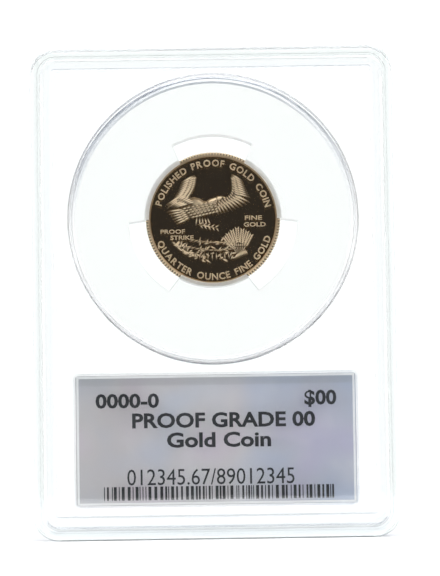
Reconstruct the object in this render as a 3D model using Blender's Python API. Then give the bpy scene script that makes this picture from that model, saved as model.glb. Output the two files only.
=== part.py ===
"""Clear sealed holder for one proof gold coin and its printed label card.

Metres, +Z up. The holder stands on its bottom edge with its front towards -Y. The origin
is on the surface it stands on, midway between its sides and between its two faces.
Two moulded halves meet at the middle plane, y = 0. A "reach" is a distance from that
plane, towards the face of whichever half is being made.
"""

import math

import bmesh
import bpy
from mathutils import Vector

MM = 0.001

# The closed holder
WIDTH = 59.5 * MM
HEIGHT = 80.2 * MM
THICKNESS = 7.8 * MM
CORNER_RADIUS = 4.3 * MM
LEAST_CORNER_RADIUS = 0.3 * MM
PANEL_WALL = 1.0 * MM  # plastic between the coin chamber and the open face
EDGE_FILLET = 0.4 * MM

# Clearances
FIT_GAP = 0.3 * MM  # between moulded pieces, and round the card and the seal
COIN_GAP = 0.2 * MM  # round the coin in its groove
NEST_GAP = 0.25 * MM  # between the ridges of two stacked holders

# Ridges that let holders stack: the front one drops inside the back one
RIDGE_RISE = 0.8 * MM
RIDGE_SLOPE = 0.25 * MM
RIDGE_FILLET = 0.15 * MM
BACK_RIDGE_WIDTH = 1.75 * MM
FRONT_RIDGE_WIDTH = 2.0 * MM

# Welded joint: a tongue on the back half in a groove of the front half
TONGUE_START = 1.55 * MM
TONGUE_WIDTH = 0.9 * MM
TONGUE_LENGTH = 1.1 * MM

# Round raised boss over the coin chamber
BOSS_SIDE_MARGIN = 2.05 * MM
BOSS_TOP_MARGIN = 0.55 * MM
BOSS_RISE = 0.3 * MM
BOSS_SLOPE = 0.3 * MM
CHAMBER_WALL = 0.4 * MM  # from the boss edge in to the coin chamber

# Raised pane over the label card
PANE_SIDE_MARGIN = 2.7 * MM
PANE_BOTTOM_MARGIN = 1.2 * MM
PANE_TO_BOSS = 1.25 * MM
PANE_RADIUS = 0.8 * MM
PANE_RISE = 0.3 * MM
PANE_SLOPE = 0.35 * MM

# Coin, a quarter-ounce size
COIN_RADIUS = 11.0 * MM
COIN_RIM_THICKNESS = 1.83 * MM
COIN_FIELD_THICKNESS = 1.2 * MM
COIN_RIM_WIDTH = 0.7 * MM
COIN_RIM_SLOPE = 0.15 * MM
COIN_CHAMFER = 0.08 * MM

# Insert that grips the coin
PRONG_COUNT = 3
PRONG_SPAN = math.radians(60)
FIRST_PRONG = math.radians(30)
PRONG_GRIP = 0.55 * MM  # how far a prong's lips reach over the coin's rim
WINDOW_DEPTH = 2.8 * MM  # open space between the coin's edge and the insert's ring

# Label card and the foil seal on the back
CARD_THICKNESS = 0.3 * MM
CARD_RADIUS = 0.5 * MM
SEAL_WIDTH = 30.0 * MM
SEAL_HEIGHT = 14.0 * MM
SEAL_THICKNESS = 0.15 * MM
SEAL_RADIUS = 1.0 * MM

# Smoothness of curves
CIRCLE_STEPS = 96
ARC_STEPS = 16
CORNER_STEPS = 6
FILLET_STEPS = 3

# Everything below follows from the values above
FACE_REACH = THICKNESS / 2
PANEL_REACH = FACE_REACH - RIDGE_RISE
SEAM_REACH = FIT_GAP / 2
CHAMBER_REACH = PANEL_REACH - PANEL_WALL
FRONT_RIDGE_START = BACK_RIDGE_WIDTH + NEST_GAP
FRAME_BAND = FRONT_RIDGE_START + FRONT_RIDGE_WIDTH
BOSS_RADIUS = WIDTH / 2 - FRAME_BAND - BOSS_SIDE_MARGIN
CHAMBER_RADIUS = BOSS_RADIUS - CHAMBER_WALL
COIN_Z = HEIGHT - FRAME_BAND - BOSS_TOP_MARGIN - BOSS_RADIUS
PANE_WIDTH = WIDTH - 2 * FRAME_BAND - 2 * PANE_SIDE_MARGIN
PANE_BOTTOM = FRAME_BAND + PANE_BOTTOM_MARGIN
PANE_TOP = COIN_Z - BOSS_RADIUS - PANE_TO_BOSS
PANE_HEIGHT = PANE_TOP - PANE_BOTTOM
PANE_Z = (PANE_TOP + PANE_BOTTOM) / 2
CARD_REACH = SEAM_REACH + CARD_THICKNESS
INSERT_REACH = CHAMBER_REACH - FIT_GAP
INSERT_RADIUS = CHAMBER_RADIUS - FIT_GAP
CUT_SPARE = 1.0 * MM  # how far cutters and joined shapes run past the face they meet


def fillet(before, corner, after, radius):
    """Points of a round corner between two straight stretches of a profile."""
    corner = Vector(corner)
    back = (Vector(before) - corner).normalized()
    ahead = (Vector(after) - corner).normalized()
    half_angle = back.angle(ahead) / 2
    centre = corner + (back + ahead).normalized() * radius / math.sin(half_angle)
    start = corner + back * radius / math.tan(half_angle) - centre
    end = corner + ahead * radius / math.tan(half_angle) - centre
    turn = math.atan2(start.x * end.y - start.y * end.x, start.dot(end))
    points = []
    for step in range(FILLET_STEPS + 1):
        angle = turn * step / FILLET_STEPS
        x = start.x * math.cos(angle) - start.y * math.sin(angle)
        y = start.x * math.sin(angle) + start.y * math.cos(angle)
        points.append((centre.x + x, centre.y + y))
    return points


def filleted(corners):
    """A profile from (inset, reach, radius) corners, with every radius above zero made round."""
    points = []
    for index, (inset, reach, radius) in enumerate(corners):
        if radius > 0:
            before = corners[index - 1][:2]
            after = corners[index + 1][:2]
            points += fillet(before, (inset, reach), after, radius)
        else:
            points.append((inset, reach))
    return points


def circle(radius):
    """Points of a circle in the XZ plane, anticlockwise as seen from the front."""
    angles = [2 * math.pi * (step + 0.5) / CIRCLE_STEPS for step in range(CIRCLE_STEPS)]
    return [(radius * math.cos(angle), radius * math.sin(angle)) for angle in angles]


def rounded_rectangle(width, height, radius):
    """Points of a rounded rectangle in the XZ plane, anticlockwise as seen from the front."""
    points = []
    for quarter, (side, end) in enumerate([(1, 1), (-1, 1), (-1, -1), (1, -1)]):
        centre_x = side * (width / 2 - radius)
        centre_z = end * (height / 2 - radius)
        for step in range(CORNER_STEPS + 1):
            angle = math.pi / 2 * (quarter + step / CORNER_STEPS)
            points.append((centre_x + radius * math.cos(angle), centre_z + radius * math.sin(angle)))
    return points


def pronged_opening(lip_radius, window_radius):
    """Outline of the insert's opening: narrow at each prong, wide at the windows between."""
    points = []
    window_span = 2 * math.pi / PRONG_COUNT - PRONG_SPAN
    for index in range(PRONG_COUNT):
        start = FIRST_PRONG - PRONG_SPAN / 2 + 2 * math.pi * index / PRONG_COUNT
        for radius, span in ((lip_radius, PRONG_SPAN), (window_radius, window_span)):
            for step in range(ARC_STEPS + 1):
                angle = start + span * step / ARC_STEPS
                points.append((radius * math.cos(angle), radius * math.sin(angle)))
            start += span
    return points


def loft(name, sections):
    """A closed solid through (outline, y) sections, capped at the first and the last."""
    shape = bmesh.new()
    loops = [[shape.verts.new((x, y, z)) for x, z in outline] for outline, y in sections]
    for near, far in zip(loops, loops[1:]):
        for index in range(len(near)):
            following = (index + 1) % len(near)
            shape.faces.new((near[index], far[index], far[following], near[following]))
    shape.faces.new(loops[0])
    shape.faces.new(reversed(loops[-1]))
    bmesh.ops.recalc_face_normals(shape, faces=shape.faces)
    mesh = bpy.data.meshes.new(name)
    shape.to_mesh(mesh)
    shape.free()
    solid = bpy.data.objects.new(name, mesh)
    bpy.context.collection.objects.link(solid)
    return solid


def slab_outline(inset):
    """The holder's outline, this far in from its sides."""
    radius = max(CORNER_RADIUS - inset, LEAST_CORNER_RADIUS)
    return rounded_rectangle(WIDTH - 2 * inset, HEIGHT - 2 * inset, radius)


def half(name, profile, side):
    """One moulded half from its (inset, reach) profile: side is -1 at the front, 1 at the back."""
    solid = loft(name, [(slab_outline(inset), side * reach) for inset, reach in profile])
    solid.location.z = HEIGHT / 2
    return solid


def join_or_cut(solid, tool, operation, z):
    """Joins a hidden tool at height z to a solid, or cuts it away."""
    tool.location.z = z
    tool.hide_render = True
    tool.display_type = "WIRE"
    modifier = solid.modifiers.new(tool.name, "BOOLEAN")
    modifier.operation = operation
    modifier.solver = "EXACT"
    modifier.object = tool


def boss(name, side):
    """The round raised boss of one half, sunk into its panel to be joined there."""
    sections = [
        (circle(BOSS_RADIUS), side * (PANEL_REACH - PANEL_WALL / 2)),
        (circle(BOSS_RADIUS), side * PANEL_REACH),
        (circle(BOSS_RADIUS - BOSS_SLOPE), side * (PANEL_REACH + BOSS_RISE)),
    ]
    return loft(name, sections)


def pane(name):
    """The raised label pane of the front half, sunk into its panel to be joined there."""
    foot = rounded_rectangle(PANE_WIDTH, PANE_HEIGHT, PANE_RADIUS)
    top_radius = PANE_RADIUS - PANE_SLOPE
    top = rounded_rectangle(PANE_WIDTH - 2 * PANE_SLOPE, PANE_HEIGHT - 2 * PANE_SLOPE, top_radius)
    sections = [
        (foot, -(PANEL_REACH - PANEL_WALL / 2)),
        (foot, -PANEL_REACH),
        (top, -(PANEL_REACH + PANE_RISE)),
    ]
    return loft(name, sections)


def chamber_cutter(name, side):
    """The round space that one half leaves for the insert."""
    return loft(
        name,
        [
            (circle(CHAMBER_RADIUS), -side * CUT_SPARE),
            (circle(CHAMBER_RADIUS), side * CHAMBER_REACH),
        ],
    )


def front_shell():
    """Front half: outer shoulder, stacking ridge, joint groove, chamber and card pocket."""
    groove_start = TONGUE_START - FIT_GAP
    groove_end = TONGUE_START + TONGUE_WIDTH + FIT_GAP
    groove_reach = TONGUE_LENGTH - SEAM_REACH + FIT_GAP
    profile = filleted(
        [
            (FRAME_BAND, PANEL_REACH, 0),
            (FRAME_BAND - RIDGE_SLOPE, FACE_REACH, RIDGE_FILLET),
            (FRONT_RIDGE_START + RIDGE_SLOPE, FACE_REACH, RIDGE_FILLET),
            (FRONT_RIDGE_START, PANEL_REACH, 0),
            (0, PANEL_REACH, EDGE_FILLET),
            (0, SEAM_REACH, 0),
            (groove_start, SEAM_REACH, 0),
            (groove_start, groove_reach, 0),
            (groove_end, groove_reach, 0),
            (groove_end, SEAM_REACH, 0),
        ]
    )
    shell = half("front_shell", profile, -1)
    join_or_cut(shell, boss("front_boss", -1), "UNION", COIN_Z)
    join_or_cut(shell, pane("label_pane"), "UNION", PANE_Z)
    join_or_cut(shell, chamber_cutter("front_chamber", -1), "DIFFERENCE", COIN_Z)
    pocket_outline = rounded_rectangle(PANE_WIDTH, PANE_HEIGHT, PANE_RADIUS)
    pocket = loft(
        "card_pocket",
        [(pocket_outline, -(CARD_REACH + FIT_GAP)), (pocket_outline, CUT_SPARE)],
    )
    join_or_cut(shell, pocket, "DIFFERENCE", PANE_Z)
    return shell


def back_shell():
    """Back half: outer stacking ridge, joint tongue, chamber and a recess for the seal."""
    tongue_end = TONGUE_START + TONGUE_WIDTH
    tongue_tip = SEAM_REACH - TONGUE_LENGTH
    profile = filleted(
        [
            (BACK_RIDGE_WIDTH, PANEL_REACH, 0),
            (BACK_RIDGE_WIDTH - RIDGE_SLOPE, FACE_REACH, RIDGE_FILLET),
            (0, FACE_REACH, EDGE_FILLET),
            (0, SEAM_REACH, 0),
            (TONGUE_START, SEAM_REACH, 0),
            (TONGUE_START, tongue_tip, 0),
            (tongue_end, tongue_tip, 0),
            (tongue_end, SEAM_REACH, 0),
        ]
    )
    shell = half("back_shell", profile, 1)
    join_or_cut(shell, boss("back_boss", 1), "UNION", COIN_Z)
    join_or_cut(shell, chamber_cutter("back_chamber", 1), "DIFFERENCE", COIN_Z)
    recess_outline = rounded_rectangle(
        SEAL_WIDTH + 2 * FIT_GAP, SEAL_HEIGHT + 2 * FIT_GAP, SEAL_RADIUS + FIT_GAP
    )
    recess = loft(
        "seal_recess",
        [
            (recess_outline, PANEL_REACH - SEAL_THICKNESS - FIT_GAP),
            (recess_outline, FACE_REACH + CUT_SPARE),
        ],
    )
    join_or_cut(shell, recess, "DIFFERENCE", PANE_Z)
    return shell


def coin_insert():
    """Disc that fills the chamber and grips the coin's rim with three lipped prongs."""
    disc = circle(INSERT_RADIUS)
    insert = loft("coin_insert", [(disc, -INSERT_REACH), (disc, INSERT_REACH)])
    insert.location.z = COIN_Z
    through = INSERT_REACH + CUT_SPARE
    outline = pronged_opening(COIN_RADIUS - PRONG_GRIP, COIN_RADIUS + WINDOW_DEPTH)
    opening = loft("insert_opening", [(outline, -through), (outline, through)])
    join_or_cut(insert, opening, "DIFFERENCE", COIN_Z)
    groove_circle = circle(COIN_RADIUS + COIN_GAP)
    groove_reach = COIN_RIM_THICKNESS / 2 + COIN_GAP
    groove = loft("coin_groove", [(groove_circle, -groove_reach), (groove_circle, groove_reach)])
    join_or_cut(insert, groove, "DIFFERENCE", COIN_Z)
    return insert


def coin():
    """Blank with a raised rim on both faces; its edge is left plain."""
    rim_reach = COIN_RIM_THICKNESS / 2
    rim_radius = COIN_RADIUS - COIN_RIM_WIDTH
    face = [
        (rim_radius - COIN_RIM_SLOPE, COIN_FIELD_THICKNESS / 2),
        (rim_radius, rim_reach),
        (COIN_RADIUS - COIN_CHAMFER, rim_reach),
        (COIN_RADIUS, rim_reach - COIN_CHAMFER),
    ]
    front = [(circle(radius), -reach) for radius, reach in face]
    back = [(circle(radius), reach) for radius, reach in reversed(face)]
    blank = loft("coin", front + back)
    blank.location.z = COIN_Z
    return blank


def label_card():
    """Printed card in the front half's pocket, level with the seam."""
    width = PANE_WIDTH - 2 * FIT_GAP
    height = PANE_HEIGHT - 2 * FIT_GAP
    outline = rounded_rectangle(width, height, CARD_RADIUS)
    card = loft("label_card", [(outline, -CARD_REACH), (outline, -SEAM_REACH)])
    card.location.z = PANE_Z
    return card


def security_seal():
    """Foil seal in the back half's recess, behind the label card."""
    outline = rounded_rectangle(SEAL_WIDTH, SEAL_HEIGHT, SEAL_RADIUS)
    seal = loft("security_seal", [(outline, PANEL_REACH - SEAL_THICKNESS), (outline, PANEL_REACH)])
    seal.location.z = PANE_Z
    return seal


def material(name, colour, roughness, metallic=0.0, transmission=0.0):
    """A Principled material in one plain finish."""
    finish = bpy.data.materials.new(name)
    finish.use_nodes = True
    shader = finish.node_tree.nodes["Principled BSDF"]
    shader.inputs["Base Color"].default_value = (*colour, 1)
    shader.inputs["Roughness"].default_value = roughness
    shader.inputs["Metallic"].default_value = metallic
    shader.inputs["Transmission Weight"].default_value = transmission
    return finish


def shade_round(solid):
    """Smooth shading on curved faces, with the real edges left sharp."""
    solid.data.shade_smooth()
    solid.data.set_sharp_from_angle(angle=math.radians(30))


def build():
    """Clears the scene and makes every piece of the holder under one empty."""
    for leftover in list(bpy.data.objects):
        bpy.data.objects.remove(leftover, do_unlink=True)
    clear_plastic = material("clear_polystyrene", (0.96, 0.98, 0.98), 0.03, transmission=1.0)
    insert_plastic = material("clear_insert", (0.95, 0.96, 0.96), 0.08, transmission=1.0)
    proof_gold = material("proof_gold", (0.83, 0.62, 0.33), 0.12, metallic=1.0)
    printed_card = material("printed_card", (0.42, 0.43, 0.49), 0.6)
    foil = material("seal_foil", (0.72, 0.75, 0.80), 0.2, metallic=1.0)
    pieces = [
        (front_shell(), clear_plastic),
        (back_shell(), clear_plastic),
        (coin_insert(), insert_plastic),
        (coin(), proof_gold),
        (label_card(), printed_card),
        (security_seal(), foil),
    ]
    holder = bpy.data.objects.new("holder", None)
    bpy.context.collection.objects.link(holder)
    for solid, finish in pieces:
        solid.data.materials.append(finish)
        shade_round(solid)
        solid.parent = holder


build()
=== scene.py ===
# %% [markdown]
# # A graded coin slab, from solids to a finished look
#
# The slab is a clear, sealed holder. Two moulded halves of polystyrene are welded round a
# proof gold coin, a clear insert that grips the coin, and a printed card. The CAD model
# gives every piece its place and size. This lesson makes the surfaces that the eye sees:
# small fillets that draw the clear edges, the struck relief, the print and the foil.
#
# The first cell loads the CAD model. Its nodes are a fixed frame: nothing here moves them.

# %% Load the frame
import math
import random

import bmesh
import bpy
from mathutils import Matrix, Vector


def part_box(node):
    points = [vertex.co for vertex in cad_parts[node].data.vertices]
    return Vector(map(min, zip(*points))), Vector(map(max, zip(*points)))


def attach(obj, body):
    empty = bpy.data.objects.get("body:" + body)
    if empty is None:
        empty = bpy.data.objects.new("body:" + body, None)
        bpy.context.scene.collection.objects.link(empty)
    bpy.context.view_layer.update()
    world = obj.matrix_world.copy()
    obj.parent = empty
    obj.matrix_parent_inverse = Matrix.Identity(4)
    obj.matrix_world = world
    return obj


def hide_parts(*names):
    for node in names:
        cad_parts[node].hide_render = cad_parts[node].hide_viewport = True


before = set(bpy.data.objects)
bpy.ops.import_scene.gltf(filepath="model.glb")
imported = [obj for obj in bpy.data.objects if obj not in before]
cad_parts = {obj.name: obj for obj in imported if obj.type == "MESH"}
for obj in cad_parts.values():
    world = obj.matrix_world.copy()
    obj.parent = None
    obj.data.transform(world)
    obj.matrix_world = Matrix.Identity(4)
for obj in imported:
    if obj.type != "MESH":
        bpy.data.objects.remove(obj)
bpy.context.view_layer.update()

# %% [markdown]
# ## Sizes
#
# Places come from the boxes of the CAD nodes. What a box can't tell, such as the width of
# a ridge, is a named size in millimetres. The slab stands on its bottom edge with its
# front towards -Y, so a "reach" is a distance from the middle plane, y = 0.

# %% Sizes from the frame
MM = 0.001

front_low, front_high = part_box("front_shell")
back_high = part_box("back_shell")[1]
insert_low, insert_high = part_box("coin_insert")
coin_low, coin_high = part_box("coin")
card_low, card_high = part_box("label_card")
seal_low, seal_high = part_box("security_seal")

WIDTH = front_high[0] - front_low[0]
HEIGHT = front_high[2]
FACE_REACH = back_high[1]
SEAM_REACH = -front_high[1]
COIN_RADIUS = (coin_high[0] - coin_low[0]) / 2
COIN_Z = (coin_high[2] + coin_low[2]) / 2
COIN_REACH = coin_high[1]
INSERT_RADIUS = (insert_high[2] - insert_low[2]) / 2
INSERT_REACH = insert_high[1]
CARD_FRONT = card_low[1]
FIT_GAP = 0.3 * MM
CARD_WIDTH = card_high[0] - card_low[0]
CARD_HEIGHT = card_high[2] - card_low[2]
POCKET_WIDTH = CARD_WIDTH + 2 * FIT_GAP
POCKET_HEIGHT = CARD_HEIGHT + 2 * FIT_GAP
CARD_Z = (card_high[2] + card_low[2]) / 2

# %% Sizes of the moulding
HAIR = 0.01 * MM  # less than any real gap or wall
CORNER_RADIUS = 4.3 * MM
RIDGE_RISE = 0.8 * MM
RIDGE_SLOPE = 0.25 * MM
BACK_RIDGE_WIDTH = 1.75 * MM
FRONT_RIDGE_START = 2.0 * MM
FRONT_RIDGE_WIDTH = 2.0 * MM
TONGUE_START = 1.55 * MM
TONGUE_WIDTH = 0.9 * MM
TONGUE_LENGTH = 1.1 * MM
PANEL_WALL = 1.0 * MM
BOSS_RISE = 0.3 * MM
CHAMBER_RADIUS = INSERT_RADIUS + FIT_GAP
CHAMBER_WALL = 0.4 * MM
BOSS_RADIUS = CHAMBER_RADIUS + CHAMBER_WALL
PANEL_REACH = FACE_REACH - RIDGE_RISE
CHAMBER_REACH = PANEL_REACH - PANEL_WALL
print(f"slab {WIDTH / MM:.1f} x {HEIGHT / MM:.1f} mm, coin {2 * COIN_RADIUS / MM:.1f} mm")

# %% [markdown]
# ## Working in edit mode from a script
#
# An operator acts on whatever is selected, as it does by hand. So each step first clears
# the selection, then picks faces, edges or points by where they are or which way they
# face, and only then calls the operators.

# %% Select and edit
def only(piece):
    """Makes one object the active and only selected one."""
    bpy.ops.object.select_all(action="DESELECT")
    piece.select_set(True)
    bpy.context.view_layer.objects.active = piece


def work(piece, kind, chosen, *steps):
    """Opens a piece, selects what chosen() picks, runs the steps and closes it again."""
    only(piece)
    bpy.ops.object.mode_set(mode="EDIT")
    bpy.ops.mesh.select_mode(type=kind)
    bpy.ops.mesh.select_all(action="DESELECT")
    shape = bmesh.from_edit_mesh(piece.data)
    items = {"VERT": shape.verts, "EDGE": shape.edges, "FACE": shape.faces}[kind]
    picked = [item for item in items if chosen(item)]
    for item in picked:
        item.select_set(True)
    shape.select_flush_mode()
    bmesh.update_edit_mesh(piece.data)
    for step in steps:
        step()
    bpy.ops.object.mode_set(mode="OBJECT")
    return len(picked)


def inset(thickness, depth=0.0):
    """An edit-mode step: a parallel inset of the selected face, raised by depth."""
    return lambda: bpy.ops.mesh.inset(thickness=thickness, depth=depth, use_even_offset=True)


def bevel(offset, segments):
    """An edit-mode step: round the selected edges."""
    return lambda: bpy.ops.mesh.bevel(offset=offset, segments=segments, affect="EDGES")


def resize(scale, centre):
    """An edit-mode step: scale the selected points about a centre."""
    return lambda: bpy.ops.transform.resize(value=scale, center_override=centre)


def push(y):
    """An edit-mode step: extrude the selected faces along Y."""
    return lambda: bpy.ops.mesh.extrude_region_move(TRANSFORM_OT_translate={"value": (0, y, 0)})


def call(piece, name):
    """Gives an object and its mesh one name."""
    piece.name = name
    piece.data.name = name
    return piece


def settle(piece, name):
    """Names a new object and puts its place, turn and scale into its mesh."""
    only(piece)
    bpy.ops.object.transform_apply(location=True, rotation=True, scale=True)
    return call(piece, name)

# %% Where a point is
def slab_inset(point):
    """How far in from the slab's outline a point is."""
    across = abs(point.x) - (WIDTH / 2 - CORNER_RADIUS)
    along = abs(point.z - HEIGHT / 2) - (HEIGHT / 2 - CORNER_RADIUS)
    outside = math.hypot(max(across, 0), max(along, 0))
    return CORNER_RADIUS - outside - min(max(across, along), 0)


def from_axis(point):
    """How far a point is from the coin's axis."""
    return math.hypot(point.x, point.z - COIN_Z)


def near(value, target, within=2 * HAIR):
    """Whether two lengths agree."""
    return abs(value - target) < within


def edge_at(*places):
    """Picks the edges that run along the outline at one of the (inset, y) places."""
    def lies_at(edge, in_by, y):
        return all(near(vert.co.y, y) and near(slab_inset(vert.co), in_by) for vert in edge.verts)
    return lambda edge: any(lies_at(edge, *place) for place in places)


def level(edge):
    """Whether an edge keeps the same depth from end to end."""
    return near(edge.verts[0].co.y, edge.verts[1].co.y)

# %% [markdown]
# ## Rounded blocks and discs
#
# Every moulded shape here starts as a block with four rounded corners or as a disc. The
# block is a cube whose four edges along Y are bevelled; the disc is a cylinder turned to
# face the front. Both are only blanks, which the later steps work on.

# %% Blanks and Booleans
def block(name, width, height, z, low_y, high_y, radius, segments):
    """A block that fills a box, with its four edges along Y rounded."""
    bpy.ops.mesh.primitive_cube_add(
        size=1, location=(0, (low_y + high_y) / 2, z), scale=(width, high_y - low_y, height)
    )
    piece = settle(bpy.context.object, name)
    work(
        piece,
        "EDGE",
        lambda edge: abs(edge.verts[0].co.y - edge.verts[1].co.y) > (high_y - low_y) / 2,
        bevel(radius, segments),
    )
    return piece


def disc(name, radius, z, low_y, high_y, sides=192):
    """A disc that faces the front, from low_y to high_y."""
    bpy.ops.mesh.primitive_cylinder_add(
        vertices=sides,
        radius=radius,
        depth=high_y - low_y,
        location=(0, (low_y + high_y) / 2, z),
        rotation=(math.pi / 2, 0, 0),
    )
    return settle(bpy.context.object, name)


def facing(side):
    """Picks the flat faces that look to one side along Y."""
    return lambda face: face.normal.y * side > 0.99


def apply(piece, kind, **settings):
    """Adds a modifier with its settings and applies it."""
    modifier = piece.modifiers.new(kind, kind)
    for name, value in settings.items():
        setattr(modifier, name, value)
    only(piece)
    bpy.ops.object.modifier_apply(modifier=modifier.name)


def combine(piece, tool, operation):
    """Joins a tool to a piece, or cuts it away, and throws the tool out."""
    apply(piece, "BOOLEAN", operation=operation, solver="EXACT", object=tool)
    bpy.data.objects.remove(tool, do_unlink=True)


def smooth(piece, angle=30):
    """Rounds the shading of curved faces and keeps the flat ones truly flat."""
    only(piece)
    bpy.ops.object.shade_smooth_by_angle(angle=math.radians(angle))
    apply(piece, "WEIGHTED_NORMAL", keep_sharp=True, weight=100)
    print(f"{piece.name}: {len(piece.data.polygons)} faces")

# %% [markdown]
# ## The two halves
#
# Clear plastic shows itself only at its edges. A moulded edge is never sharp, and its
# small fillet bends the light into a thin grey line. So the halves are made again with a
# fillet on every edge that the real mould has. Insets walk in from the outline and step
# up and down over the stacking ridge, as a mould maker would cut it.

# %% Sizes of the fillets and fields
OUTER_FILLET = 0.4 * MM
RIDGE_FILLET = 0.15 * MM
ROOT_FILLET = 0.1 * MM
SHOULDER_WIDTH = 0.8 * MM
SHOULDER_DROP = 0.25 * MM
SHOULDER_FILLET = 0.06 * MM
BOSS_SLOPE = 0.3 * MM
PANE_RISE = 0.3 * MM
PANE_SLOPE = 0.35 * MM
FIELD_FILLET = 0.1 * MM
POCKET_CORNER = 0.8 * MM
CORNER_SEGMENTS = 14

# %% Raised fields, chamber and seam
def half_blank(name, low_y, high_y):
    """A block with the slab's outline."""
    return block(name, WIDTH, HEIGHT, HEIGHT / 2, low_y, high_y, CORNER_RADIUS, CORNER_SEGMENTS)


def raised_top(piece, side, rise, slope):
    """Turns the flat end of a tool into a low raised field with a rounded, sloping edge."""
    face_y = side * (PANEL_REACH + rise)
    work(piece, "FACE", facing(side), inset(slope, rise))
    work(
        piece,
        "EDGE",
        lambda edge: all(near(vert.co.y, face_y) for vert in edge.verts),
        bevel(FIELD_FILLET, 3),
    )
    return piece


def boss(side):
    """The round raised field over the coin."""
    ends = sorted((side * (PANEL_REACH - PANEL_WALL / 2), side * PANEL_REACH))
    return raised_top(disc("boss", BOSS_RADIUS, COIN_Z, *ends), side, BOSS_RISE, BOSS_SLOPE)


def chamber(side):
    """The round space that one half leaves for the insert."""
    ends = sorted((-side * MM, side * (CHAMBER_REACH - SHOULDER_DROP)))
    cutter = disc("chamber", CHAMBER_RADIUS, COIN_Z, *ends)
    work(cutter, "FACE", facing(side), inset(SHOULDER_WIDTH, SHOULDER_DROP))
    shoulder_ends = (CHAMBER_REACH - SHOULDER_DROP, CHAMBER_REACH)
    work(
        cutter,
        "EDGE",
        lambda edge: level(edge)
        and any(near(edge.verts[0].co.y, side * reach) for reach in shoulder_ends),
        bevel(SHOULDER_FILLET, 2),
    )
    return cutter


def seam_band(half, side, start, width):
    """Moves a band of the seam forward: a groove in the front half, a tongue on the back one."""
    def in_band(face):
        insets = [slab_inset(vert.co) for vert in face.verts]
        inside = start - HAIR < min(insets) and max(insets) < start + width + HAIR
        return facing(side)(face) and inside
    work(half, "FACE", facing(side), inset(start), inset(width))
    work(half, "FACE", in_band, push(-TONGUE_LENGTH))

# %% Front half
def make_front_half():
    """Shoulder, stacking ridge, joint groove, boss, label pane and card pocket."""
    half = half_blank("front_half", -PANEL_REACH, -SEAM_REACH)
    work(
        half,
        "FACE",
        facing(-1),
        inset(FRONT_RIDGE_START),
        inset(RIDGE_SLOPE, RIDGE_RISE),
        inset(FRONT_RIDGE_WIDTH - 2 * RIDGE_SLOPE),
        inset(RIDGE_SLOPE, -RIDGE_RISE),
    )
    seam_band(half, 1, TONGUE_START - FIT_GAP, TONGUE_WIDTH + 2 * FIT_GAP)
    ridge_end = FRONT_RIDGE_START + FRONT_RIDGE_WIDTH
    work(half, "EDGE", edge_at((0, -PANEL_REACH)), bevel(OUTER_FILLET, 4))
    tops = edge_at(
        (FRONT_RIDGE_START + RIDGE_SLOPE, -FACE_REACH), (ridge_end - RIDGE_SLOPE, -FACE_REACH)
    )
    work(half, "EDGE", tops, bevel(RIDGE_FILLET, 3))
    roots = edge_at((FRONT_RIDGE_START, -PANEL_REACH), (ridge_end, -PANEL_REACH))
    work(half, "EDGE", roots, bevel(ROOT_FILLET, 2))
    combine(half, boss(-1), "UNION")
    pane = block(
        "pane", POCKET_WIDTH, POCKET_HEIGHT, CARD_Z, -PANEL_REACH, -PANEL_REACH + PANEL_WALL / 2,
        POCKET_CORNER, 6,
    )
    combine(half, raised_top(pane, -1, PANE_RISE, PANE_SLOPE), "UNION")
    combine(half, chamber(-1), "DIFFERENCE")
    pocket = block(
        "pocket", POCKET_WIDTH, POCKET_HEIGHT, CARD_Z, CARD_FRONT - FIT_GAP, MM, POCKET_CORNER, 6
    )
    combine(half, pocket, "DIFFERENCE")
    return half


front_half = make_front_half()
smooth(front_half)
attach(front_half, "root")
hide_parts("front_shell")

# %% Back half
RECESS_CORNER = 1.3 * MM


def make_back_half():
    """Outer stacking ridge, joint tongue, boss and the recess for the seal."""
    half = half_blank("back_half", SEAM_REACH, FACE_REACH)
    work(
        half,
        "FACE",
        facing(1),
        inset(BACK_RIDGE_WIDTH - RIDGE_SLOPE),
        inset(RIDGE_SLOPE, -RIDGE_RISE),
    )
    seam_band(half, -1, TONGUE_START, TONGUE_WIDTH)
    work(half, "EDGE", edge_at((0, FACE_REACH)), bevel(OUTER_FILLET, 4))
    work(half, "EDGE", edge_at((BACK_RIDGE_WIDTH - RIDGE_SLOPE, FACE_REACH)), bevel(RIDGE_FILLET, 3))
    work(half, "EDGE", edge_at((BACK_RIDGE_WIDTH, PANEL_REACH)), bevel(ROOT_FILLET, 2))
    combine(half, boss(1), "UNION")
    combine(half, chamber(1), "DIFFERENCE")
    recess = block(
        "recess",
        seal_high[0] - seal_low[0] + 2 * FIT_GAP,
        seal_high[2] - seal_low[2] + 2 * FIT_GAP,
        (seal_high[2] + seal_low[2]) / 2,
        seal_low[1] - FIT_GAP,
        FACE_REACH + MM,
        RECESS_CORNER,
        5,
    )
    combine(half, recess, "DIFFERENCE")
    return half


back_half = make_back_half()
smooth(back_half)
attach(back_half, "root")
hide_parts("back_shell")

# %% [markdown]
# ## The insert
#
# A clear disc fills the chamber and grips the coin by three prongs. Its opening could be
# drawn as an outline, but a disc is quicker: the points in the three prongs' sectors are
# drawn in, and the result is cut away. A second, thinner disc cuts the groove for the rim.

# %% Insert
LIP_RADIUS = COIN_RADIUS - 0.55 * MM
WINDOW_RADIUS = COIN_RADIUS + 2.8 * MM
PRONG_CENTRES = [math.radians(angle) for angle in (30, 150, 270)]
PRONG_SPAN = math.radians(60)
RIM_CLEARANCE = 0.2 * MM
INSERT_FILLET = 0.1 * MM


def in_prong(vert):
    """Picks the points in the sectors of the three prongs."""
    angle = math.atan2(vert.co.z - COIN_Z, vert.co.x)
    away = [abs((angle - centre + math.pi) % (2 * math.pi) - math.pi) for centre in PRONG_CENTRES]
    return min(away) < PRONG_SPAN / 2 + 0.001


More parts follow.
